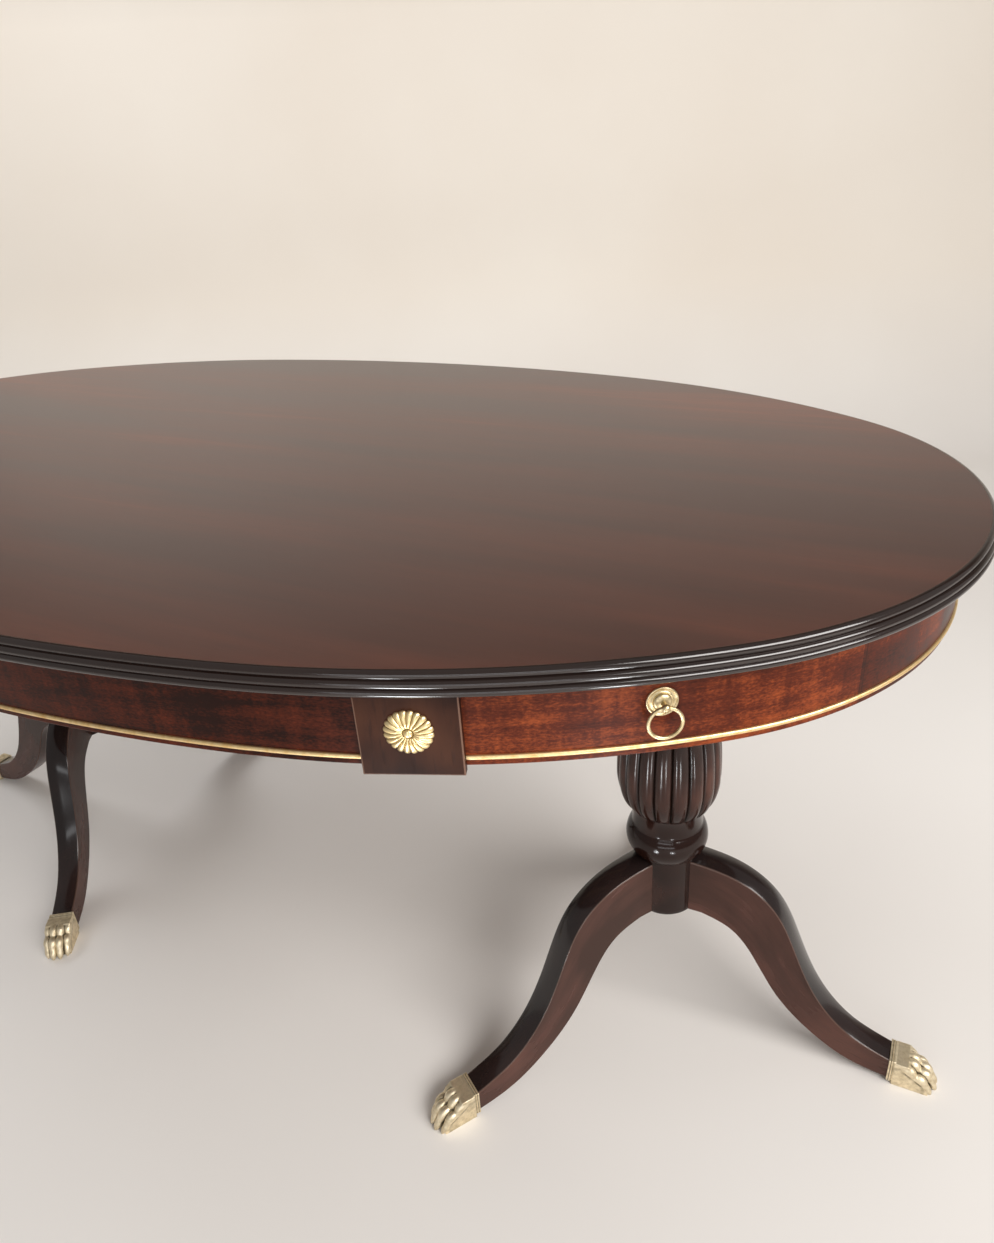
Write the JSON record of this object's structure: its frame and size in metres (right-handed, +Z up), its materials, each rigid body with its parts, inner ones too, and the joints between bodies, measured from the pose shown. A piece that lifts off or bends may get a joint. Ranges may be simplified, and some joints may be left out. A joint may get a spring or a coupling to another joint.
{
  "type": "oval extending table",
  "caption": "Oval extending dining table with a reeded split top, frieze with rosette tablets and ring pulls, and turned pillar pedestals on sabre legs with brass paw feet.",
  "frame": {"origin": "middle of the closed table on the floor", "axes": "+Z up, +X along the length towards the half that slides, -Y the front seen in the picture"},
  "size_m": [1.8028, 0.999, 0.76],
  "materials": {
    "top_mahogany": "satin polish",
    "frieze_mahogany": "polished",
    "ebonised_mahogany": "polished",
    "gilt_brass": "gilt",
    "antique_brass": "worn",
    "paw_brass": "dull antique",
    "black_iron": "blacked",
    "beech": "waxed",
    "carcase_wood": "sawn"
  },
  "bodies": {
    "left_half": {"left_apron": "frieze_mahogany", "left_bead": "gilt_brass", "left_bearer_inner": "carcase_wood", "left_bearer_outer": "carcase_wood", "left_block": "carcase_wood", "left_brace": "black_iron", "left_leg_back": "ebonised_mahogany", "left_leg_end": "ebonised_mahogany", "left_leg_front": "ebonised_mahogany", "left_paw_back": "paw_brass", "left_paw_end": "paw_brass", "left_paw_front": "paw_brass", "left_pillar": "ebonised_mahogany", "left_ring_rose_back": "antique_brass", "left_ring_rose_front": "antique_brass", "left_rosette_back": "gilt_brass", "left_rosette_front": "gilt_brass", "left_runner_back": "beech", "left_runner_front": "beech", "left_tablet_back": "ebonised_mahogany", "left_tablet_front": "ebonised_mahogany", "left_top": "top_mahogany", "seam_dowels": "beech"},
    "right_half": {"right_apron": "frieze_mahogany", "right_bead": "gilt_brass", "right_bearer_inner": "carcase_wood", "right_bearer_outer": "carcase_wood", "right_block": "carcase_wood", "right_brace": "black_iron", "right_leg_back": "ebonised_mahogany", "right_leg_end": "ebonised_mahogany", "right_leg_front": "ebonised_mahogany", "right_paw_back": "paw_brass", "right_paw_end": "paw_brass", "right_paw_front": "paw_brass", "right_pillar": "ebonised_mahogany", "right_ring_rose_back": "antique_brass", "right_ring_rose_front": "antique_brass", "right_rosette_back": "gilt_brass", "right_rosette_front": "gilt_brass", "right_runner_back": "beech", "right_runner_front": "beech", "right_tablet_back": "ebonised_mahogany", "right_tablet_front": "ebonised_mahogany", "right_top": "top_mahogany"},
    "middle_slide": {"middle_runner_back": "beech", "middle_runner_front": "beech", "middle_tie": "beech"},
    "left_ring_back": {"left_ring_back": "antique_brass"},
    "left_ring_front": {"left_ring_front": "antique_brass"},
    "right_ring_back": {"right_ring_back": "antique_brass"},
    "right_ring_front": {"right_ring_front": "antique_brass"}
  },
  "joints": [
    {"name": "right_half_slide", "type": "slide", "parent": "left_half", "child": "right_half", "axis": [1, 0, 0], "range_m": [0, 0.45]},
    {"name": "middle_runner_slide", "type": "slide", "parent": "left_half", "child": "middle_slide", "axis": [1, 0, 0], "range_m": [0, 0.225]},
    {"name": "right_ring_front_swing", "type": "hinge", "parent": "right_half", "child": "right_ring_front", "pos_m": [0.63135, -0.33086, 0.711], "axis": [-0.8348, -0.5505, 0], "range_deg": [0, 100]},
    {"name": "right_ring_back_swing", "type": "hinge", "parent": "right_half", "child": "right_ring_back", "pos_m": [0.63135, 0.33086, 0.711], "axis": [0.8348, -0.5505, 0], "range_deg": [0, 100]},
    {"name": "left_ring_front_swing", "type": "hinge", "parent": "left_half", "child": "left_ring_front", "pos_m": [-0.63135, -0.33086, 0.711], "axis": [-0.8348, 0.5505, 0], "range_deg": [0, 100]},
    {"name": "left_ring_back_swing", "type": "hinge", "parent": "left_half", "child": "left_ring_back", "pos_m": [-0.63135, 0.33086, 0.711], "axis": [0.8348, 0.5505, 0], "range_deg": [0, 100]}
  ],
  "couplings": [
    {"joint": "middle_runner_slide", "follows": "right_half_slide", "ratio": 0.5}
  ]
}
